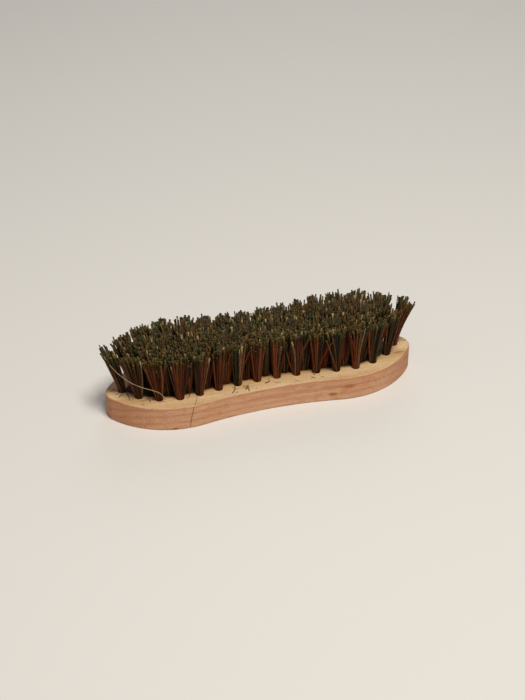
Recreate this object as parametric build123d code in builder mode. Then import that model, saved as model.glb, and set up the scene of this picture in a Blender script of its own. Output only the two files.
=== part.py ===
from build123d import *
from math import atan2, degrees
import os

# A laundry scrubbing brush: a flat wooden block, waisted like a figure of eight, with
# tufts of stiff plant fibre in a closed ring near its edge and in staggered rows across
# it. Each tuft is folded at its middle and held in a blind drilled hole by a wire staple,
# driven through the fold into the wood.
#
# Millimetres. The origin is the middle of the block's flat back, +X runs along the
# brush, and +Z is the way the fibres point.

# The block
LENGTH = 210.0  # over the two round ends
LOBE_WIDTH = 59.5  # at the widest place of each end
WAIST_WIDTH = 49.5  # at the middle, where the hand closes round the block
THICKNESS = 17.0
LOBE_FROM_END = 48.5  # from the end to the widest place
END_RADIUS = 10.5  # of the arc that closes each end
EDGE_RADIUS = 0.8  # of the sanded edges round both flat faces

# The holes: a ring of them, and straight rows across the brush inside it. The rows stand
# half the ring's spacing apart, so that every hole lies between two of the next line.
EDGE_INSET = 11.0  # from the block's edge to the ring
RING_END_RADIUS = 4.0  # of the arc that closes the ring at each end
RING_COUNT = 30
ROW_COUNT = 25
WIDE_ROW = (-2 / 3, 0, 2 / 3)  # where the holes lie, as shares of the ring's half width
NARROW_ROW = (-1 / 3, 1 / 3)  # and in each row between two wide ones
HOLE_SPACING = 6.6  # least distance from a row's hole to the ring's holes

# One hole
HOLE_RADIUS = 2.75
HOLE_FLOOR = 5.5  # wood left between the hole and the back

# The tufts
FIBRE_HEIGHT = 31.0  # above the face of the block
TIP_RADIUS = 4.0
END_LEAN = 8.7  # how far the tips stand out from their holes along the brush, at its ends
SIDE_LEAN = 3.6  # and across it, at its sides
SWEEP = 3.4  # how far use has bent all the tips towards +Y

# The staples, of square wire
WIRE = 1.0
STAPLE_WIDTH = 4.2  # over both legs
CROWN_LIFT = 1.4  # from the floor of the hole to the underside of the crown
LEG_BITE = 3.0  # how deep the legs go into the wood under the hole
POINT_LENGTH = 0.8  # of the slanted cut that sharpens each leg


def waisted_wire(length, lobe_width, waist_width, end_radius):
    """A closed figure-of-eight wire of eight tangent arcs: two ends, four lobes, two waists.

    Each lobe arc is widest at LOBE_FROM_END from the brush's end and holds the end arc
    inside it. The waist arc bends the other way and touches the two lobe arcs beside it.
    """
    lobe_x = LENGTH / 2 - LOBE_FROM_END
    end_x = length / 2 - end_radius
    reach = end_x - lobe_x
    lobe_radius = (reach**2 + lobe_width**2 / 4 - end_radius**2) / (lobe_width - 2 * end_radius)
    lobe_y = lobe_width / 2 - lobe_radius
    end_angle = degrees(atan2(-lobe_y, reach))

    narrowing = (lobe_width - waist_width) / 2
    depth = lobe_radius - narrowing
    waist_radius = (lobe_x**2 + depth**2 - lobe_radius**2) / (2 * narrowing)
    waist_y = waist_width / 2 + waist_radius
    waist_angle = degrees(atan2(lobe_x, waist_radius + depth))

    with BuildLine() as outline:
        CenterArc((lobe_x, lobe_y), lobe_radius, end_angle, 90 + waist_angle - end_angle)
        mirror(about=Plane.YZ)
        CenterArc((0, waist_y), waist_radius, 270 - waist_angle, 2 * waist_angle)
        mirror(about=Plane.XZ)
        CenterArc((end_x, 0), end_radius, -end_angle, 2 * end_angle)
        CenterArc((-end_x, 0), end_radius, 180 - end_angle, 2 * end_angle)
    return Wire(outline.edges())


def ring_holes(ring):
    """Holes equally spaced round the ring from its +X end, counter-clockwise.

    A hole is its middle and the lean of its tuft, here out from the ring.
    """
    start = ring.param_at_point((ring.bounding_box().max.X, 0, 0))
    holes = []
    for i in range(RING_COUNT):
        at = (start + i / RING_COUNT) % 1
        outward = (ring % at).rotate(Axis.Z, -90)
        lean = Vector(outward.X * END_LEAN, outward.Y * SIDE_LEAN + SWEEP)
        holes.append((ring @ at, lean))
    return holes


def row_holes(ring, ring_middles, x, shares):
    """Holes in one row across the ring, less those too near a hole of the ring.

    The tufts lean out across the brush by their share, and along it as the cube of x.
    """
    half_width = ring.intersect(Edge.make_line((x, 0), (x, LOBE_WIDTH)))[0].Y
    half_length = ring.bounding_box().max.X
    holes = []
    for share in shares:
        middle = Vector(x, share * half_width)
        lean = Vector((x / half_length) ** 3 * END_LEAN, share * SIDE_LEAN + SWEEP)
        if min((middle - other).length for other in ring_middles) >= HOLE_SPACING:
            holes.append((middle, lean))
    return holes


def staple_profile(middle):
    """A sketch of the staple's flat side, standing in the hole along the brush.

    Its own X runs along the brush and its own Y is up, with zero at the hole's floor.
    """
    floor = (middle.X, middle.Y, HOLE_FLOOR)
    out = STAPLE_WIDTH / 2
    inside = out - WIRE
    top = CROWN_LIFT + WIRE
    with BuildSketch(Plane(origin=floor, x_dir=(1, 0, 0), z_dir=(0, -1, 0))) as profile:
        with BuildLine():
            half = [(0, top), (out, top), (out, POINT_LENGTH - LEG_BITE), (inside, -LEG_BITE)]
            Polyline(*half, (inside, CROWN_LIFT), (0, CROWN_LIFT))
            mirror(about=Plane.YZ)
        make_face()
    return profile.sketch


def staple_solid(middle):
    with BuildPart() as staple:
        extrude(staple_profile(middle), amount=WIRE / 2, both=True)
    return staple.part


def tuft_solid(middle, lean, staple):
    """The bundle of one hole: a round root down to the hole's floor, and a spreading top."""
    with BuildPart() as tuft:
        with BuildSketch(Plane.XY.offset(HOLE_FLOOR)):
            with Locations(middle):
                Circle(HOLE_RADIUS)
        extrude(amount=THICKNESS - HOLE_FLOOR)
        with BuildSketch(Plane.XY.offset(THICKNESS)):
            with Locations(middle):
                Circle(HOLE_RADIUS)
        with BuildSketch(Plane.XY.offset(THICKNESS + FIBRE_HEIGHT)):
            with Locations(middle + lean):
                Circle(TIP_RADIUS)
        loft(ruled=True)
        add(staple, mode=Mode.SUBTRACT)
    return tuft.part


def block_solid(outline, middles, staples):
    """The wooden block with its blind holes and the slots that the staples' legs cut."""
    with BuildPart() as block:
        with BuildSketch():
            with BuildLine():
                add(outline)
            make_face()
        extrude(amount=THICKNESS)
        flats = block.faces().filter_by(Axis.Z)
        fillet(flats.edges(), radius=EDGE_RADIUS)
        with Locations(*[(middle.X, middle.Y, THICKNESS) for middle in middles]):
            Hole(HOLE_RADIUS, depth=THICKNESS - HOLE_FLOOR)
        add(staples, mode=Mode.SUBTRACT)
    return block.part


os.makedirs("parts", exist_ok=True)

block_wire = waisted_wire(LENGTH, LOBE_WIDTH, WAIST_WIDTH, END_RADIUS)
ring = waisted_wire(
    LENGTH - 2 * EDGE_INSET,
    LOBE_WIDTH - 2 * EDGE_INSET,
    WAIST_WIDTH - 2 * EDGE_INSET,
    RING_END_RADIUS,
)
ring_spacing = ring.length / RING_COUNT
print(f"ring: {RING_COUNT} tufts {ring_spacing:.2f} mm apart")

# One node for each tuft of the ring, and one for each row across, numbered from -X
ring_tufts = ring_holes(ring)
ring_middles = [middle for middle, lean in ring_tufts]
groups = {f"outer_tuft_{i:02d}": [hole] for i, hole in enumerate(ring_tufts, start=1)}
for i in range(ROW_COUNT):
    steps = i - (ROW_COUNT - 1) // 2
    x = steps * ring_spacing / 2
    shares = WIDE_ROW if steps % 2 == 0 else NARROW_ROW
    groups[f"cross_row_{i + 1:02d}"] = row_holes(ring, ring_middles, x, shares)

middles = []
staple_solids = []
for name, holes in groups.items():
    tufts = []
    for middle, lean in holes:
        staple = staple_solid(middle)
        tufts.append(tuft_solid(middle, lean, staple))
        middles.append(middle)
        staple_solids.append(staple)
    group = Compound(children=tufts, label=name)
    export_step(group, f"parts/{name}.step")
print(f"{len(middles)} tufts in {len(groups)} nodes")

staples = Compound(children=staple_solids, label="staples")
export_step(staples, "parts/staples.step")

block = block_solid(block_wire, middles, staple_solids)
block.label = "block"
export_step(block, "parts/block.step")
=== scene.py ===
# %% [markdown]
# # A laundry scrubbing brush in Blender
#
# The brush is already designed: a waisted wooden block, eighty-nine tufts of stiff plant
# fibre and the wire staples that hold them. This file gives that design its looks. The design
# comes in as a frame that is never moved, and each tuft's plain solid is swapped for the real
# thing, a bundle of separate fibres. We work in metres, with the block's flat back at height zero.

# %% Load the design
import math

import bpy
import numpy as np
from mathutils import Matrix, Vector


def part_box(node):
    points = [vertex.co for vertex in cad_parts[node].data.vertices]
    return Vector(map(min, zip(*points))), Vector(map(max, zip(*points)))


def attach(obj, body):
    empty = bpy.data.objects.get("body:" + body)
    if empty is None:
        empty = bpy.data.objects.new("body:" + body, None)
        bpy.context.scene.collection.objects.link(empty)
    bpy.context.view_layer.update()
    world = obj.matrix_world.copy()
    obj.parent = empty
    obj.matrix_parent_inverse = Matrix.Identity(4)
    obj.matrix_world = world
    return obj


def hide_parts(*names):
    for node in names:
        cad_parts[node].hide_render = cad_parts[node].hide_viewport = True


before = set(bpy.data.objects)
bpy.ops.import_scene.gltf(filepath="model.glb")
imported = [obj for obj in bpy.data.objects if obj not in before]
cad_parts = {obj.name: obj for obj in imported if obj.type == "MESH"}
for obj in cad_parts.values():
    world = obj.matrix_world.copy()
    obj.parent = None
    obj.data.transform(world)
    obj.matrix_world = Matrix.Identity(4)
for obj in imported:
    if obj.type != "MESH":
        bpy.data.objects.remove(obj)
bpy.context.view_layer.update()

MM = 0.001  # a millimetre, in the scene's metres

# %% [markdown]
# ## Helpers for materials
#
# Colours are written as the hex values that a colour picker shows, which are gamma-encoded, while
# Blender's shaders work in linear light. One function does that conversion for the whole file. A
# second one adds a shader node with its settings and links, so that a material reads as a short
# list of what it is made of. A third starts a material, and a fourth gives it to a design piece.

# %% Colours, nodes and materials
def linear(hex_colour):
    """Each channel c of an sRGB hex colour becomes ((c + 0.055) / 1.055) to the power 2.4, or
    c / 12.92 where it is very dark. Returns red, green, blue and an alpha of 1."""
    c = np.array([int(hex_colour[i : i + 2], 16) for i in (1, 3, 5)]) / 255
    light = np.where(c > 0.04045, ((c + 0.055) / 1.055) ** 2.4, c / 12.92)
    return (*light.tolist(), 1.0)


def add(tree, kind, inputs=None, stops=None, **settings):
    """Adds a shader node and returns its first useful output.

    inputs maps a socket's name or number to a value or to another node's output, and stops are
    a colour ramp's (position, hex colour) pairs."""
    node = tree.nodes.new("ShaderNode" + kind)
    for name, value in settings.items():
        setattr(node, name, value)
    for name, value in (inputs or {}).items():
        if isinstance(value, bpy.types.NodeSocket):
            tree.links.new(value, node.inputs[name])
        else:
            node.inputs[name].default_value = value
    if stops:
        ramp = node.color_ramp.elements
        while len(ramp) < len(stops):
            ramp.new(1.0)
        for element, (position, colour) in zip(ramp, stops):
            element.position = position
            element.color = linear(colour)
    return next(out for out in node.outputs if out.enabled)


def start_material(name):
    """A new material's own block of data, its node tree and its Principled shader's inputs."""
    material = bpy.data.materials.new(name)
    material.use_nodes = True
    return material, material.node_tree, material.node_tree.nodes["Principled BSDF"].inputs


def dress(node, material):
    """Gives a design piece a material, in place of any it had."""
    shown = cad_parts[node]
    shown.data.materials.clear()
    shown.data.materials.append(material)


# %% [markdown]
# ## Where the tufts are
#
# Each tuft of the design is a plain solid: a round root in its hole, under a cone that spreads to
# the tip. Its lowest corners give the hole and its highest ones the tip, so we read those off. A
# row across the brush holds up to three tufts in one piece, which are told apart by their Y.
#
# The tufts of the ring are numbered round it, so the way out of the ring at one of them is square
# to the line between its two neighbours.

# %% Read the tufts off the design
TUFT_GAP = 2.5 * MM  # less than lies between two tufts of one piece
END_SLICE = 0.1 * MM  # within which a corner counts as one of the lowest or the highest


def unit(vectors):
    """Each vector divided by its length."""
    return vectors / np.linalg.norm(vectors, axis=-1, keepdims=True)


def tufts_of(node):
    """For each tuft of a design piece, from -Y to +Y: the middle and the radius of its lowest
    corners, and then of its highest ones."""
    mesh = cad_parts[node].data
    points = np.empty(len(mesh.vertices) * 3)
    mesh.vertices.foreach_get("co", points)
    points = points.reshape(-1, 3)
    found = []
    for z in (points[:, 2].min(), points[:, 2].max()):
        at_z = points[np.abs(points[:, 2] - z) < END_SLICE]
        at_z = at_z[at_z[:, 1].argsort()]
        rings = np.split(at_z, np.flatnonzero(np.diff(at_z[:, 1]) > TUFT_GAP) + 1)
        middles = [(ring.min(0) + ring.max(0)) / 2 for ring in rings]
        spans = [(ring.max(0) - ring.min(0))[:2].max() / 2 for ring in rings]
        found += [middles, spans]
    return list(zip(*found))


tuft_nodes = sorted(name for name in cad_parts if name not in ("block", "staples"))
tufts = [(node, tuft) for node in tuft_nodes for tuft in tufts_of(node)]
ring_tufts = [tuft for node, tuft in tufts if node.startswith("outer")]
all_tips = np.array([tip[:2] for node, (_, _, tip, _) in tufts])
ring_tips = np.array([tip[:2] for _, _, tip, _ in ring_tufts])
ring_roots = np.array([root[:2] for root, _, _, _ in ring_tufts])
chords = np.roll(ring_roots, -1, axis=0) - np.roll(ring_roots, 1, axis=0)
ring_out = unit(chords[:, ::-1] * (1, -1))
print(len(tuft_nodes), "pieces hold", len(tufts), "tufts,", len(ring_tufts), "of them in the ring")

# %% [markdown]
# ## The camera
#
# A long lens from about a metre away keeps both ends of the brush almost the same size, as a
# catalogue picture does. We say where the brush is seen from: how far round, how high and how
# far. The camera aims a little above the middle of the back, because the fibres stand up from it.

# %% Camera
CAMERA_TURN = math.radians(17.07)  # round the brush, from square-on towards its -X end
CAMERA_TILT = math.radians(34.01)  # above the horizon
CAMERA_DISTANCE = 1.0059  # from the point it aims at
AIM_UP = 0.0252  # of that point from the origin, along the camera's own up and right
AIM_RIGHT = 0.0011
LENS = 77.1  # mm, on Blender's 36 mm sensor

right = np.array([math.cos(CAMERA_TURN), -math.sin(CAMERA_TURN), 0])
level = np.array([math.sin(CAMERA_TURN), math.cos(CAMERA_TURN), 0])
up = np.array([0, 0, 1])
ahead = math.cos(CAMERA_TILT) * level - math.sin(CAMERA_TILT) * up
upward = math.sin(CAMERA_TILT) * level + math.cos(CAMERA_TILT) * up
camera = bpy.data.objects.new("camera", bpy.data.cameras.new("camera"))
camera.data.lens = LENS
camera.location = AIM_UP * upward + AIM_RIGHT * right - CAMERA_DISTANCE * ahead
camera.rotation_euler = (math.pi / 2 - CAMERA_TILT, 0, -CAMERA_TURN)
bpy.context.scene.collection.objects.link(camera)
bpy.context.scene.camera = camera
print("camera at", [round(x, 3) for x in camera.location])

# %% [markdown]
# ## Floor and light
#
# A pale floor and large soft lamps show the object and nothing else. The main lamp is high over
# the camera's side of the brush. It lights the cut ends and the face of the block, and leaves the
# deep gaps between the tufts dark, which is what makes the tufts stand out. The floor throws
# light back on to the block's edge. The plain Standard view keeps colours as they were picked.

# %% Floor, lamps and world
FLOOR_HALF = 3.0  # far enough for its edges to be out of sight
corners = np.array([(-1, -1, 0), (1, -1, 0), (1, 1, 0), (-1, 1, 0)])
floor_mesh = bpy.data.meshes.new("floor")
floor_mesh.from_pydata(corners * FLOOR_HALF, [], [(0, 1, 2, 3)])
floor = bpy.data.objects.new("floor", floor_mesh)
bpy.context.scene.collection.objects.link(floor)
paint, tree, shader = start_material("matt_floor_paint")
shader["Base Color"].default_value = linear("#D6D5D2")
shader["Roughness"].default_value = 0.9
floor_mesh.materials.append(paint)


def lamp(name, across, back, height, size, watts, colour):
    """A square lamp that shines on the brush, placed in metres as the camera sees it: so far to
    the right, so far behind the brush and so high."""
    light = bpy.data.lights.new(name, "AREA")
    light.size = size
    light.energy = watts
    light.color = linear(colour)[:3]
    holder = bpy.data.objects.new(name, light)
    holder.location = across * right + back * level + height * up
    holder.rotation_euler = (-holder.location).to_track_quat("-Z", "Y").to_euler()
    bpy.context.scene.collection.objects.link(holder)


lamp("main_lamp", 0.25, -0.45, 1.45, 0.5, 22.5, "#FFF8EE")
lamp("left_lamp", -1.20, -0.50, 0.80, 0.9, 1.0, "#F4F6FF")
lamp("back_lamp", 0.10, 1.30, 0.90, 0.8, 3.0, "#FFFFFF")
world = bpy.data.worlds.new("pale_room")
world.use_nodes = True
world.node_tree.nodes["Background"].inputs["Color"].default_value = linear("#EAE8E4")
world.node_tree.nodes["Background"].inputs["Strength"].default_value = 0.18
bpy.context.scene.world = world
bpy.context.scene.view_settings.view_transform = "Standard"
print("a floor and", len(bpy.data.lights), "lamps")

# %% [markdown]
# ## The wooden block
#
# The block is sawn from a plank of a pale close-grained hardwood such as beech, bored, and sanded all
# round. Its growth rings run along the plank as faint bands. Finer streaks and short dark ray flecks
# lie along the grain. The broad faces are creamy, and the shaped edge is a warmer pink, which is a
# painted reflection of warm light bounced up on to it. The ends show end grain, which drinks in more
# light.
#
# A picture wrapped round the block could not agree with itself at the corners. We work the colour
# out in three dimensions instead, from where a point is in the block, so that a streak on the face
# runs over the edge as it does in a real piece.

# %% Grain of the block
block_low, block_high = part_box("block")

wood, tree, shader = start_material("sanded_beech")
place = add(tree, "TexCoord").node.outputs["Object"]
# The pattern space is squeezed along X, so that everything drawn in it is long in the grain. The
# sizes given are those across the grain.
grain = add(tree, "Mapping", {"Vector": place, "Scale": (0.05, 1, 1)})
# The growth rings go round a pith that lies in the tree beyond the block.
RING_SPACING = 5 * MM
BROAD_BAND = 7 * MM
STREAK = 0.9 * MM
FLECK = 0.55 * MM  # really a quarter of a millimetre wide, and drawn twice that to show
ONE_RING = 0.314  # the wave texture's scale that puts its rings one unit apart
pith = add(tree, "Mapping", {"Vector": grain, "Location": (0, 0.047, 0.086)})
rings = add(
    tree,
    "TexWave",
    {"Vector": pith, "Scale": ONE_RING / RING_SPACING, "Distortion": 7.0, "Detail": 3.0},
    wave_type="RINGS",
    rings_direction="X",
)
rings.node.inputs["Detail Scale"].default_value = 0.2
rings = rings.node.outputs["Fac"]
broad = add(tree, "TexNoise", {"Vector": grain, "Scale": 1 / BROAD_BAND, "Detail": 3.0})
streaks = add(
    tree, "TexNoise", {"Vector": grain, "Scale": 1 / STREAK, "Detail": 4.0, "Roughness": 0.7}
)
fleck_space = add(tree, "Mapping", {"Vector": place, "Scale": (0.16, 1, 1)})
flecks = add(tree, "TexNoise", {"Vector": fleck_space, "Scale": 1 / FLECK, "Detail": 1.0})
print(wood.name, "has bands, rings, streaks and flecks in", len(tree.nodes), "nodes")

# %% [markdown]
# Where a point lies decides which colour it starts from. Its height tells face from edge, and the
# way its surface points tells side grain from end grain. The plank also has a pale knot in two
# parts, a dark fleck by the back and a brown streak in the face. Each of those is drawn as a
# stretched ball of brown with a ragged border.

# %% Colour of the block
height = add(tree, "SeparateXYZ", {"Vector": place}).node.outputs["Z"]
middle = (block_low.z + block_high.z) / 2
off_middle = add(tree, "Math", {0: height, 1: middle}, operation="SUBTRACT")
off_middle = add(tree, "Math", {0: off_middle}, operation="ABSOLUTE")
half = block_high.z - middle
EDGE_BLEND = (0.6 * MM, 0.1 * MM)  # below a face, where the edge's colour turns into the face's
face_mask = add(
    tree,
    "MapRange",
    {"Value": off_middle, "From Min": half - EDGE_BLEND[0], "From Max": half - EDGE_BLEND[1]},
)
# The shaped edge's warmer pink is a painted reflection: warm light bounced up on to the edge.
bounce_pink_edge_stops = [(0.0, "#DDAD88"), (0.6, "#DBAA85"), (1.0, "#D19D79")]
face_stops = [(0.0, "#D3BA92"), (0.6, "#CFB58A"), (1.0, "#C5A67B")]
bounce_pink_edge_colour = add(tree, "ValToRGB", {"Fac": rings}, stops=bounce_pink_edge_stops)
face_colour = add(tree, "ValToRGB", {"Fac": rings}, stops=face_stops)
colour = add(tree, "Mix", {0: face_mask, 6: bounce_pink_edge_colour, 7: face_colour}, data_type="RGBA")


def darken(tree, colour, amount, hex_colour):
    """Multiplies a colour by another one, where amount is 1, and leaves it where it is 0."""
    sockets = {0: amount, 6: colour, 7: linear(hex_colour)}
    return add(tree, "Mix", sockets, data_type="RGBA", blend_type="MULTIPLY")


def spot(centre, size):
    """A mask that is 1 inside a stretched ball and 0 outside, with a ragged soft border."""
    ragged = add(tree, "VectorMath", {0: place, 1: wobble}, operation="ADD")
    local = add(tree, "VectorMath", {0: ragged, 1: centre}, operation="SUBTRACT")
    local = add(tree, "VectorMath", {0: local, 1: size}, operation="DIVIDE")
    distance = add(tree, "VectorMath", {0: local}, operation="LENGTH").node.outputs["Value"]
    return add(tree, "MapRange", {"Value": distance, "From Min": 1.0, "From Max": 0.4})


# The noise's colour is a ready-made wobble in three directions, which makes the borders ragged.
WOBBLE = 2 * MM  # its middle value, which the spots' centres are moved by to cancel it
wobble = add(
    tree, "VectorMath", {0: broad.node.outputs["Color"], "Scale": 2 * WOBBLE}, operation="SCALE"
)
broad_mask = add(tree, "MapRange", {"Value": broad, "From Min": 0.62, "From Max": 0.36})
colour = darken(tree, colour, broad_mask, "#F6EADF")
streak_mask = add(tree, "MapRange", {"Value": streaks, "From Min": 0.58, "From Max": 0.34})
colour = darken(tree, colour, streak_mask, "#ECDACB")
fleck_mask = add(tree, "MapRange", {"Value": flecks, "From Min": 0.61, "From Max": 0.74})
colour = darken(tree, colour, fleck_mask, "#DDC4B0")
# Each spot has a centre and half sizes in millimetres, and the colour it multiplies the wood by.
SPOTS = [
    ((52, -28, 10.5), (6, 3, 2.2), "#DCB08C"),
    ((42, -27, 5), (4, 3, 2.5), "#E0B898"),
    ((-66, -28, 0.5), (3.0, 2, 1.6), "#8E5A3C"),
    ((94, -11, 17), (6, 1.0, 1.5), "#C9A27C"),
]
for centre, size, tint in SPOTS:
    centre = tuple(c * MM + WOBBLE for c in centre)
    size = tuple(s * MM for s in size)
    colour = darken(tree, colour, spot(centre, size), tint)

facing = add(tree, "SeparateXYZ", {"Vector": place.node.outputs["Normal"]})
end_grain = add(tree, "Math", {0: facing}, operation="ABSOLUTE")
end_mask = add(tree, "MapRange", {"Value": end_grain, "From Min": 0.35, "From Max": 0.95})
colour = darken(tree, colour, end_mask, "#E4CBB4")
print(len(SPOTS), "spots in the wood")

# %% [markdown]
# The face among the tufts is darkened to a deep olive. This is painted shade, for the deep shade
# under the heads of the tufts, with a tint of the green fibres' dye. The darkening ends just inside
# the ring of holes. Seen along the brush, the ring's half width is a smooth curve through its own
# holes, so a curve node holds it, and a point is darkened when it is nearer to the middle line than
# that.

# %% Painted shade and dye on the face
RAGGED = 1.5 * MM  # how far the grain moves the darkening's border one way or the other
GRAIN_DEPTH = 0.15 * MM
SHADE_AND_DYE_BORDER = (0.8 * MM, 3.0 * MM)  # inside the ring, where the darkening starts and is full
# The ring's holes in the quarter where X and Y are positive, with the one at the end.
quarter = sorted((root[0], root[1]) for root, _, _, _ in ring_tufts if min(root[:2]) > -1 * MM)
apart = add(tree, "VectorMath", {0: place, 1: tuple(1 / c for c in block_high)}, operation="MULTIPLY")
apart = add(tree, "VectorMath", {0: apart}, operation="ABSOLUTE")
apart = add(tree, "SeparateXYZ", {"Vector": apart})
ring_width = add(tree, "FloatCurve", {"Value": apart.node.outputs["X"]})
curve = ring_width.node.mapping.curves[0]
shares = [(max(x, 0) / block_high.x, max(y, 0) / block_high.y) for x, y in quarter]
curve.points[0].location = (0, shares[0][1])
curve.points[1].location = shares[-1]
for share in shares[:-1]:
    curve.points.new(*share)
ring_width.node.mapping.update()
inside = add(tree, "Math", {0: ring_width, 1: apart.node.outputs["Y"]}, operation="SUBTRACT")
inside = add(tree, "Math", {0: inside, 1: block_high.y}, operation="MULTIPLY")
ragged = add(tree, "MapRange", {"Value": streaks, "To Min": -RAGGED, "To Max": RAGGED})
inside = add(tree, "Math", {0: inside, 1: ragged}, operation="ADD")
painted_shade_and_dye = add(
    tree, "MapRange", {"Value": inside, "From Min": SHADE_AND_DYE_BORDER[0], "From Max": SHADE_AND_DYE_BORDER[1]}
)
on_top = add(tree, "MapRange", {"Value": height, "From Min": middle, "From Max": middle + MM})
painted_shade_and_dye = add(tree, "Math", {0: painted_shade_and_dye, 1: on_top}, operation="MULTIPLY")
# The deep olive multiplied in here is painted shade among the tufts, with a tint of dye.
colour = darken(tree, colour, painted_shade_and_dye, "#4E4A2A")
tree.links.new(colour, shader["Base Color"])
gloss = add(tree, "MapRange", {"Value": streaks, "To Min": 0.52, "To Max": 0.74})
tree.links.new(gloss, shader["Roughness"])
relief = add(tree, "Bump", {"Height": streaks, "Strength": 0.25, "Distance": GRAIN_DEPTH})
tree.links.new(relief, shader["Normal"])
dress("block", wood)
print("block is", round((block_high.z - block_low.z) / MM, 1), "mm thick")

# %% [markdown]
# ## The staples
#
# Each tuft is pulled into its hole by a small staple of hard-drawn steel wire. It is out of sight
# in the finished brush, but it is a real piece, so it gets a real finish: bright metal with fine
# marks along the wire, left by the drawing die.

# %% Steel of the staples
wire, tree, shader = start_material("drawn_steel_wire")
place = add(tree, "TexCoord").node.outputs["Object"]
DRAWING_MARK = 0.12 * MM  # really a few hundredths of one, and drawn coarser to show
marks = add(tree, "TexNoise", {"Vector": place, "Scale": 1 / DRAWING_MARK, "Detail": 3.0})
shade = add(tree, "ValToRGB", {"Fac": marks}, stops=[(0.35, "#8F9092"), (0.65, "#B9BABB")])
tree.links.new(shade, shader["Base Color"])
shader["Metallic"].default_value = 1.0
gloss = add(tree, "MapRange", {"Value": marks, "To Min": 0.25, "To Max": 0.45})
tree.links.new(gloss, shader["Roughness"])
dress("staples", wire)
print("staples are", wire.name)

# %% [markdown]
# ## The fibre
#
# The tufts are a mixture of split palm-leaf fibres, some left red-brown and some dyed dark green,
# each about a millimetre across. Every fibre has a tone of its own. Its cut end is paler, partly the
# pith and partly a painted highlight. Towards the tip the colour turns from the shaft's to the tip's:
# the shaft's red-browns are partly a painted reflection of warm light bounced on to the sides of the
# tufts, and the tips show the olive and green of the fibres.
#
# One material serves thousands of fibres, so what differs between them is written on the mesh as
# attributes. `tone` is kept by a whole fibre, `along` runs from 0 at the face of the block to 1 at
# the tip, and `cut` is 1 on the end faces. The material looks the tone up in two colour ramps, one
# for the shaft and one for the tip, and blends between them along the fibre.

# %% Colour of the fibres
fibre, tree, shader = start_material("palm_leaf_fibre")
tone = add(tree, "Attribute", attribute_name="tone").node.outputs["Fac"]
along = add(tree, "Attribute", attribute_name="along").node.outputs["Fac"]
cut = add(tree, "Attribute", attribute_name="cut").node.outputs["Fac"]
place = add(tree, "TexCoord").node.outputs["Object"]
# From 0 to 1 a tone goes through red-brown, dark brown, dark green, olive, tan and pale.
# The shaft's colours carry a painted reflection: their red-browns are partly warm light bounced on to
# the sides of the tufts.
BOUNCE_TINTED_SHAFT_STOPS = [
    (0.00, "#50210D"),
    (0.14, "#7E3A16"),
    (0.30, "#884A1E"),
    (0.44, "#49270F"),
    (0.56, "#251E07"),
    (0.68, "#1A250F"),
    (0.80, "#473A18"),
    (0.91, "#5F4122"),
    (1.00, "#967C59"),
]
TIP_STOPS = [
    (0.00, "#241A04"),
    (0.14, "#46300C"),
    (0.30, "#5A4214"),
    (0.44, "#38300C"),
    (0.56, "#1E2008"),
    (0.68, "#1A3414"),
    (0.80, "#4C481C"),
    (0.91, "#806838"),
    (1.00, "#BEAE86"),
]
bounce_tinted_shaft = add(tree, "ValToRGB", {"Fac": tone}, stops=BOUNCE_TINTED_SHAFT_STOPS)
tip = add(tree, "ValToRGB", {"Fac": tone}, stops=TIP_STOPS)
towards_tip = add(tree, "MapRange", {"Value": along, "From Min": 0.60, "From Max": 0.92})
colour = add(tree, "Mix", {0: towards_tip, 6: bounce_tinted_shaft, 7: tip}, data_type="RGBA")
# Veins run up a fibre, so this noise is squeezed along its height.
VEIN = 0.35 * MM
PITH_AND_HIGHLIGHT = 0.3  # how much of the paler colour a cut end has, partly pith and partly painted highlight
vein_space = add(tree, "Mapping", {"Vector": place, "Scale": (1, 1, 0.12)})
veins = add(tree, "TexNoise", {"Vector": vein_space, "Scale": 1 / VEIN, "Detail": 2.0})
vein_mask = add(tree, "MapRange", {"Value": veins, "From Min": 0.60, "From Max": 0.35})
colour = darken(tree, colour, vein_mask, "#A8A29A")
# Cut ends are made paler: partly the pith, and partly a painted highlight where the ends catch the
# light from above.
pith_and_highlight_mask = add(tree, "Math", {0: cut, 1: PITH_AND_HIGHLIGHT}, operation="MULTIPLY")
colour = add(tree, "Mix", {0: pith_and_highlight_mask, 6: colour, 7: linear("#746640")}, data_type="RGBA")
tree.links.new(colour, shader["Base Color"])
shader["Specular IOR Level"].default_value = 0.2
gloss = add(tree, "MapRange", {"Value": veins, "To Min": 0.42, "To Max": 0.68})
tree.links.new(gloss, shader["Roughness"])
print(fibre.name, "has", len(BOUNCE_TINTED_SHAFT_STOPS), "tones")

# %% [markdown]
# ## A fibre as a surface
#
# A fibre is a flattened six-sided tube carried along a path. A whole bundle is worked out at once:
# its paths are one array with a row for each fibre and a column for each step along it, and the
# tube's corners are added round every point of it. No loop touches a vertex.
#
# Six sides and seven steps are enough for something a millimetre wide, and keep each fibre to a
# few dozen faces, because there are thousands of them.

# %% Tubes along paths
SIDES = 6
AROUND = np.arange(SIDES) * (2 * math.pi / SIDES)


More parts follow.
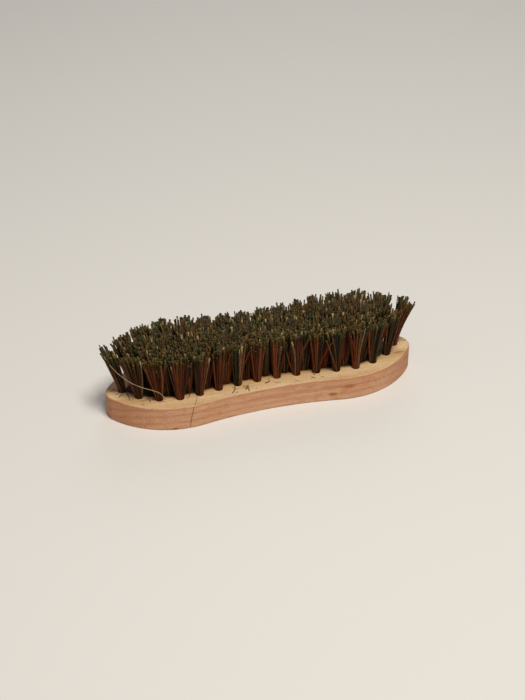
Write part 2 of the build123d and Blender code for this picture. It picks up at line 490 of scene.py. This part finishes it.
def tubes(paths, width, flatness, facing, twist):
    """Corners of flattened tubes, shape (fibres, points, SIDES, 3).

    At a point of a path with unit tangent T, A is the facing direction made square to T, and B
    is T cross A. Corner k of a six-sided ring is half the width times cos(k sixths of a turn)
    along A, and that times the flatness with the sine along B. The ring is turned in its own
    plane by the twist so far.
    """
    tangent = unit(np.gradient(paths, axis=1))
    facing = facing[:, None, :]
    first = unit(facing - (facing * tangent).sum(-1, keepdims=True) * tangent)
    second = np.cross(tangent, first)
    turned = (twist[:, None] * np.linspace(0, 1, paths.shape[1]))[..., None]
    across = np.cos(AROUND) * width[..., None] / 2
    through = np.sin(AROUND) * width[..., None] / 2 * flatness[:, None, None]
    a = across * np.cos(turned) - through * np.sin(turned)
    b = across * np.sin(turned) + through * np.cos(turned)
    return paths[:, :, None] + a[..., None] * first[:, :, None] + b[..., None] * second[:, :, None]


def tube_faces(count, points):
    """Corner numbers of the faces of all tubes: the sides, shape (faces, 4), and the closed ends,
    shape (2 * count, SIDES). They are listed so that every face looks outwards."""
    ring = np.arange(SIDES)
    after = np.roll(ring, -1)
    step = (np.arange(points - 1) * SIDES)[:, None]
    quad = np.stack([step + ring, step + after, step + after + SIDES, step + ring + SIDES], -1)
    start = np.arange(count) * points * SIDES
    quads = (start[:, None, None, None] + quad).reshape(-1, 4)
    bottom = start[:, None] + ring[::-1]
    top = start[:, None] + (points - 1) * SIDES + ring
    return quads, np.concatenate([bottom, top])


# %% [markdown]
# A piece of thousands of strips would unwrap badly by itself, so we lay its map out. The map is a
# square grid with a cell for each fibre. In a cell the six sides stand next to each other as upright
# strips, and the two cut ends are small hexagons above them. A texture baked through this map keeps
# every fibre's own colour.

# %% Map and mesh of a bundle
# All of these are shares of a cell.
STRIP_WIDTH = 0.94  # of all six strips together
STRIP_HEIGHT = 0.84
STRIP_CORNER = (0.03, 0.02)
HEXAGON = 0.045  # from its middle to a corner
BOTTOM_END = (0.25, 0.93)
TOP_END = (0.75, 0.93)


def strip_map(count, points):
    """Where each face corner lies on the map, in the order of tube_faces."""
    grid = math.ceil(math.sqrt(count))
    cell = np.stack([np.arange(count) % grid, np.arange(count) // grid], -1)
    side, level = np.meshgrid(np.arange(SIDES), np.arange(points - 1))
    u = np.stack([side, side + 1, side + 1, side], -1) / SIDES * STRIP_WIDTH
    v = np.stack([level, level, level + 1, level + 1], -1) / (points - 1) * STRIP_HEIGHT
    sides = cell[:, None, None, None, :] + np.stack([u, v], -1) + STRIP_CORNER
    hexagon = np.stack([np.cos(AROUND), np.sin(AROUND)], -1) * HEXAGON
    bottom = cell[:, None] + BOTTOM_END + hexagon[::-1]
    top = cell[:, None] + TOP_END + hexagon
    return np.concatenate([sides.reshape(-1, 2), bottom.reshape(-1, 2), top.reshape(-1, 2)]) / grid


def fibre_piece(name, paths, width, flatness, facing, twist, tone, along):
    """One piece of many fibres, with the attributes that the fibre material reads. tone has a
    value for each fibre and along has one for each point of a path."""
    count, points = paths.shape[:2]
    quads, ends = tube_faces(count, points)
    mesh = bpy.data.meshes.new(name)
    mesh.vertices.add(count * points * SIDES)
    mesh.vertices.foreach_set("co", tubes(paths, width, flatness, facing, twist).ravel())
    mesh.loops.add(quads.size + ends.size)
    mesh.loops.foreach_set("vertex_index", np.concatenate([quads.ravel(), ends.ravel()]))
    mesh.polygons.add(len(quads) + len(ends))
    starts = [np.arange(len(quads)) * 4, quads.size + np.arange(len(ends)) * SIDES]
    mesh.polygons.foreach_set("loop_start", np.concatenate(starts))
    mesh.update(calc_edges=True)
    is_side = np.arange(len(mesh.polygons)) < len(quads)
    mesh.polygons.foreach_set("use_smooth", is_side)
    face_tone = np.concatenate([np.repeat(tone, (points - 1) * SIDES), tone, tone])
    point_along = np.tile(np.repeat(along, SIDES), count)
    mesh.attributes.new("tone", "FLOAT", "FACE").data.foreach_set("value", face_tone)
    mesh.attributes.new("cut", "FLOAT", "FACE").data.foreach_set("value", 1.0 - is_side)
    mesh.attributes.new("along", "FLOAT", "POINT").data.foreach_set("value", point_along)
    mesh.uv_layers.new(name="OFBake").uv.foreach_set("vector", strip_map(count, points).ravel())
    mesh.materials.append(fibre)
    piece = bpy.data.objects.new(name, mesh)
    bpy.context.scene.collection.objects.link(piece)
    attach(piece, "root")
    return piece


# %% [markdown]
# ## A tuft as a bundle of paths
#
# A tuft is a handful of fibres folded over its staple, so it comes out of the hole as a tight
# round bundle and spreads towards the trimmed tips, until it meets its neighbours. Each fibre
# starts at its place in the hole, packed like seeds in a sunflower head, and ends at the matching
# place in the tip, shaken a little. In between it bows, and near the tip it curls. A few are loose:
# they cross the gaps between tufts, or have broken short.

# %% Paths of one tuft
FIBRES = 54  # in a tuft
LEVELS = np.array([-0.30, 0, 0.17, 0.34, 0.52, 0.70, 0.86, 1.0])  # 0 is the face, 1 the tip
GOLDEN_ANGLE = math.pi * (3 - math.sqrt(5))
HALF_FIBRE = 0.4 * MM  # kept between the hole's wall and a fibre's middle
SHAKE = 0.9 * MM  # of a tip from its place
LOOSE_SHARE = 0.05
LOOSE_SHAKE = 3.0 * MM
LOOSE_RISE = (-6 * MM, 1 * MM)  # how much further up a loose fibre ends
OVER_TIP = 0.8 * MM  # how far the longest fibres pass the solid
TRIM = 2.6 * MM  # how much shorter than those the others are
SPREAD_POWER = (1.1, 1.5)
BOW = 0.4 * MM
CURL = 0.35 * MM
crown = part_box("staples")[1].z


def tuft_paths(tuft, reach, random):
    """Paths of one tuft's fibres, shape (FIBRES, levels, 3), and each one's place in the hole.

    Across, at a share t of the way from the face to the tip, a fibre has gone t to the power p
    of the way from its place in the hole to its place in the tip, where p belongs to the tuft.
    The place in the tip is the place in the unit disc times the matrix reach. To this are added
    a bow of sin(pi * t) and a curl of t to the fourth power, each in a direction of its own.
    Under the face a fibre goes straight down to the staple's crown.
    """
    root, root_radius, tip, _ = tuft
    seed = np.arange(FIBRES)
    angle = seed * GOLDEN_ANGLE + random.uniform(0, 2 * math.pi)
    share = np.sqrt((seed + 0.5) / FIBRES)
    disc = np.stack([np.cos(angle), np.sin(angle)], -1) * share[:, None]
    low = root[:2] + disc * (root_radius - HALF_FIBRE)
    shaken = random.normal(0, SHAKE, (FIBRES, 2))
    high = tip[:2] + disc @ reach + shaken
    loose = random.random((FIBRES, 1)) < LOOSE_SHARE
    high += loose * random.normal(0, LOOSE_SHAKE, (FIBRES, 2))
    rise = tip[2] - block_high.z + OVER_TIP - np.abs(random.normal(0, TRIM, FIBRES))
    rise += loose[:, 0] * random.uniform(*LOOSE_RISE, FIBRES)
    t = np.clip(LEVELS, 0, 1)[None, :, None]
    across = low[:, None] + (high - low)[:, None] * t ** random.uniform(*SPREAD_POWER)
    across += random.normal(0, BOW, (FIBRES, 1, 2)) * np.sin(math.pi * t)
    across += random.normal(0, CURL, (FIBRES, 1, 2)) * t**4
    z = block_high.z + rise[:, None] * LEVELS
    z[:, 0] = crown
    return np.concatenate([across, z[..., None]], -1), disc


# %% [markdown]
# Fibres of one colour tend to lie together in a bundle, because they come from the same handful.
# So a fibre's tone is a little random, but mostly set by which side of the hole it is on. One in
# fifteen is tan or pale, partly the fibre's own colour and partly a painted highlight for the glints
# on glossy fibres.

# %% Make the tufts
THICKNESS_SHARE = (0.45, 0.8)  # of a fibre's width
THICKENING = (0.85, 1.1)  # of the width, at the foot and at the tip
TWIST = 0.7  # radians from end to end
TONE = 0.34  # the middle one, a brown
TUFT_SCATTER = 0.05  # from tuft to tuft
TONE_SLOPE = 0.28  # from the middle of the hole to its wall
FIBRE_SCATTER = 0.17
PALE_AND_GLINT_SHARE = 0.07
PALE_AND_GLINT_TONES = (0.84, 1.0)


def bundle_shape(count, points, random, narrow=0.85, wide=1.40):
    """Widths, flatnesses, facings and twists for a bundle, with widths in millimetres."""
    width = random.uniform(narrow, wide, count) * MM
    way = random.uniform(0, 2 * math.pi, count)
    facing = np.stack([np.cos(way), np.sin(way), np.zeros(count)], -1)
    thicken = np.linspace(*THICKENING, points)
    flatness = random.uniform(*THICKNESS_SHARE, count)
    return width[:, None] * thicken, flatness, facing, random.normal(0, TWIST, count)


def tuft_tones(disc, random):
    """Tones of one tuft: a slope across the hole in a random direction, plus some scatter."""
    way = random.uniform(0, 2 * math.pi)
    slope = disc @ (math.cos(way), math.sin(way))
    tones = TONE + random.normal(0, TUFT_SCATTER) + TONE_SLOPE * slope
    tones += random.normal(0, FIBRE_SCATTER, len(disc))
    # The pale tones are partly painted highlights, standing for glints on glossy fibres.
    pale_and_glint = random.random(len(disc)) < PALE_AND_GLINT_SHARE
    return np.clip(np.where(pale_and_glint, random.uniform(*PALE_AND_GLINT_TONES, len(disc)), tones), 0, 0.97)


SPARE = 6.2 * MM  # from a tip to halfway to the next, where a tuft keeps its solid's radius


def place_in_ring(node):
    """Where in the ring's arrays a tuft of the ring is, from the number in its name."""
    return int(node[-2:]) - 1


def reach_of(node, tuft):
    """The half widths of a tuft's tip, as a matrix that a place in the unit disc is multiplied by.

    A tuft of a row spreads to half the mean distance of its third to sixth nearest neighbours.
    One of the ring keeps its solid's radius outwards, and sideways adds twice what lies beyond
    SPARE on the way to its two neighbours.
    """
    tip, radius = tuft[2][:2], tuft[3]
    if not node.startswith("outer"):
        away = np.sort(np.linalg.norm(all_tips - tip, axis=1))
        return np.eye(2) * away[3:7].mean() / 2
    away = np.sort(np.linalg.norm(ring_tips - tip, axis=1))
    out = ring_out[place_in_ring(node)]
    side = np.array([-out[1], out[0]])
    sideways = radius + 2 * max(away[1:3].mean() / 2 - SPARE, 0)
    return radius * np.outer(out, out) + sideways * np.outer(side, side)


tuft_count = 0
triangles = 0
for number, node in enumerate(tuft_nodes):
    random = np.random.default_rng(1000 + number)
    paths, tones = [], []
    for tuft in tufts_of(node):
        tuft_path, disc = tuft_paths(tuft, reach_of(node, tuft), random)
        paths.append(tuft_path)
        tones.append(tuft_tones(disc, random))
    paths, tones = np.concatenate(paths), np.concatenate(tones)
    shape = bundle_shape(len(paths), len(LEVELS), random)
    # The outer tufts keep the shaft's colours further up, with their painted reflection of warm
    # bounce light on the sides that face out.
    along = LEVELS if node.startswith("cross") else np.clip(LEVELS, 0, 1) ** 2
    bundle = fibre_piece(node + "_fibres", paths, *shape, tones, along)
    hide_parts(node)
    tuft_count += len(paths) // FIBRES
    triangles += sum(len(face.vertices) - 2 for face in bundle.data.polygons)
print(tuft_count, "tufts,", triangles, "triangles")

# %% [markdown]
# ## Loose ends
#
# A used brush sheds. One long pale fibre has worked loose at the -X end and lies across the front
# tufts, and a thin one hangs over the edge of the block. Each follows a smooth path through a few
# points, set out from the tufts that it passes.

# %% Two long loose fibres
def through(points, count):
    """A smooth path of count points through the given ones. Between two of them it is a cubic
    whose slope at each end is half the step between that end's neighbours."""
    points = np.array(points)
    before, after = 2 * points[0] - points[1], 2 * points[-1] - points[-2]
    p = np.concatenate([[before], points, [after]])
    s = np.linspace(0, len(points) - 1 - 1e-9, count)
    first = s.astype(int)
    t = (s - first)[:, None]
    a, b, c, d = (p[first + k] for k in range(4))
    square, cube = (2 * a - 5 * b + 4 * c - d) * t**2, (3 * b - a - 3 * c + d) * t**3
    return (2 * b + (c - a) * t + square + cube) / 2


def beside(node, share, outward, sideways):
    """A point beside a tuft: a share of the way up it, and so many millimetres from its middle
    towards the edge of the block and sideways along the ring."""
    root, _, tip, _ = tufts_of(node)[0]
    root[2] = block_high.z
    out = ring_out[place_in_ring(node)]
    away = (out[0] * outward - out[1] * sideways, out[1] * outward + out[0] * sideways, 0)
    return root + (tip - root) * share + np.array(away) * MM


STRAY = [
    beside("outer_tuft_16", 0.93, 2.4, 2.2),
    beside("outer_tuft_16", 0.85, 1.4, 6.9),
    beside("outer_tuft_16", 0.74, -0.8, 11.5),
    beside("outer_tuft_17", 0.65, 7.1, -4.8),
    beside("outer_tuft_17", 0.51, 6.3, 0.2),
    beside("outer_tuft_17", 0.43, 5.5, 6.2),
    beside("outer_tuft_18", 0.37, 5.8, -3.8),
    beside("outer_tuft_18", 0.28, 4.5, 0.8),
    beside("outer_tuft_18", 0.17, 3.5, 3.4),
    beside("outer_tuft_18", 0.06, 3.2, 4.3),
]
HAIR = [
    beside("outer_tuft_20", 0.76, 4.3, -3.1),
    beside("outer_tuft_20", 0.45, 3.8, -3.0),
    beside("outer_tuft_20", 0.22, 3.5, -3.0),
    beside("outer_tuft_20", 0.05, 3.4, -3.3),
    beside("outer_tuft_20", 0.01, 6.1, -4.5),
    beside("outer_tuft_20", 0.01, 9.8, -6.7),
    beside("outer_tuft_20", -0.05, 11.3, -8.4),
    beside("outer_tuft_20", -0.15, 11.5, -8.9),
    beside("outer_tuft_20", -0.29, 11.4, -9.7),
    beside("outer_tuft_20", -0.49, 11.3, -10.4),
]
# Each has a name, its points, its width in millimetres and its tone.
LOOSE = [("long_loose_fibre", STRAY, 0.50, 1.00), ("thin_loose_fibre", HAIR, 0.30, 0.50)]
LOOSE_POINTS = 26
for number, (name, points, width, tone) in enumerate(LOOSE):
    random = np.random.default_rng(2000 + number)
    path = through(points, LOOSE_POINTS)[None]
    shape = bundle_shape(1, LOOSE_POINTS, random, width, width)
    fibre_piece(name, path, *shape, np.array([tone]), np.linspace(0.9, 1, LOOSE_POINTS))
    print(name, "ends at", [round(x / MM) for x in path[0, -1]], "mm")

# %% [markdown]
# A few dark clippings have caught between the feet of the front tufts and stick out of them. Each
# is a short fibre from one place beside a tuft to another, bent a little on the way.

# %% Caught clippings
CAUGHT = [
    (beside("outer_tuft_22", 0.05, 1.4, -2.5), beside("outer_tuft_22", 0.01, 8.6, -7.2)),
    (beside("outer_tuft_22", 0.05, 7.0, -3.5), beside("outer_tuft_22", 0.01, 2.4, -4.6)),
    (beside("outer_tuft_22", 0.05, 4.4, 2.0), beside("outer_tuft_22", 0.01, 5.7, 3.9)),
    (beside("outer_tuft_23", 0.05, 4.7, -8.9), beside("outer_tuft_23", 0.01, 10.6, -9.1)),
    (beside("outer_tuft_23", 0.05, 6.9, -7.9), beside("outer_tuft_23", 0.01, 8.3, -10.7)),
    (beside("outer_tuft_17", 0.05, -0.5, -16.3), beside("outer_tuft_17", 0.01, -0.4, -13.0)),
    (beside("outer_tuft_17", 0.05, 6.3, -10.9), beside("outer_tuft_17", 0.01, 2.1, -10.4)),
    (beside("outer_tuft_17", 0.05, 0.8, -8.5), beside("outer_tuft_17", 0.01, 5.8, -4.4)),
    (beside("outer_tuft_18", 0.05, 1.3, -8.3), beside("outer_tuft_18", 0.01, 3.9, -5.5)),
    (beside("outer_tuft_20", 0.05, -1.3, -6.3), beside("outer_tuft_20", 0.01, 1.5, -9.4)),
    (beside("outer_tuft_24", 0.05, 2.2, -6.6), beside("outer_tuft_24", 0.01, 5.5, -9.6)),
    (beside("outer_tuft_26", 0.05, 2.3, -4.0), beside("outer_tuft_26", 0.01, 4.5, -1.7)),
]
CAUGHT_BEND = 1.0 * MM
random = np.random.default_rng(2500)
first, last = np.array(CAUGHT).transpose(1, 0, 2)
s = np.linspace(0, 1, 5)[None, :, None]
paths = first[:, None] + (last - first)[:, None] * s
paths += random.normal(0, CAUGHT_BEND, (len(CAUGHT), 1, 3)) * (1, 1, 0.4) * np.sin(math.pi * s)
shape = bundle_shape(len(CAUGHT), 5, random, 0.30, 0.50)
fibre_piece("caught_clippings", paths, *shape, random.uniform(0.44, 0.84, len(CAUGHT)), s.ravel())
print(len(CAUGHT), "caught clippings")

# %% [markdown]
# Trimming the tips and using the brush leave clippings and dust on the face of the block. Each is
# a short piece of fibre lying flat, thrown down at random between the tufts and the edge, with
# more of them at the -X end.

# %% Clippings on the face
CLIPPINGS = 70
LITTERED_END = -80 * MM  # beyond which a place gets EXTRA times more of them
EXTRA = 3.0
OUT_FROM_TUFT = (3.0, 9.3)  # mm, from a tuft's middle towards the block's edge
BESIDE_TUFT = 6  # mm, to either side of it
DUST_SHARE = 0.65
DUST_LENGTH = (0.4, 1.2)  # mm
CUT_LENGTH = (1.5, 4.5)  # mm, of the others
ABOVE_FACE = 0.12 * MM
CLIPPING_BEND = 0.35  # as a share of the length
random = np.random.default_rng(3000)
weight = 1 + EXTRA * (ring_roots[:, 0] < LITTERED_END)
near = random.choice(len(ring_roots), CLIPPINGS, p=weight / weight.sum())
out = ring_out[near]
side = np.stack([-out[:, 1], out[:, 0]], -1)
middle = ring_roots[near] + out * random.uniform(*OUT_FROM_TUFT, (CLIPPINGS, 1)) * MM
middle += side * random.uniform(-BESIDE_TUFT, BESIDE_TUFT, (CLIPPINGS, 1)) * MM
is_dust = random.random(CLIPPINGS) < DUST_SHARE
dust_length = random.uniform(*DUST_LENGTH, CLIPPINGS)
length = np.where(is_dust, dust_length, random.uniform(*CUT_LENGTH, CLIPPINGS)) * MM
shape = bundle_shape(CLIPPINGS, 4, random, 0.16, 0.36)
middle = np.insert(middle, 2, block_high.z + ABOVE_FACE, axis=1)
way = random.uniform(0, 2 * math.pi, CLIPPINGS)
lies = np.stack([np.cos(way), np.sin(way), np.zeros(CLIPPINGS)], -1)
bend = np.stack([-np.sin(way), np.cos(way), np.zeros(CLIPPINGS)], -1)
s = np.linspace(-0.5, 0.5, 4)[None, :, None]
paths = middle[:, None] + lies[:, None] * length[:, None, None] * s
bent = random.normal(0, CLIPPING_BEND, (CLIPPINGS, 1, 1)) * s**2
paths += bend[:, None] * length[:, None, None] * bent
tones = random.uniform(0.15, 0.95, CLIPPINGS)
fibre_piece("clippings", paths, *shape, tones, np.linspace(0.7, 1, 4))
print(CLIPPINGS, "clippings")
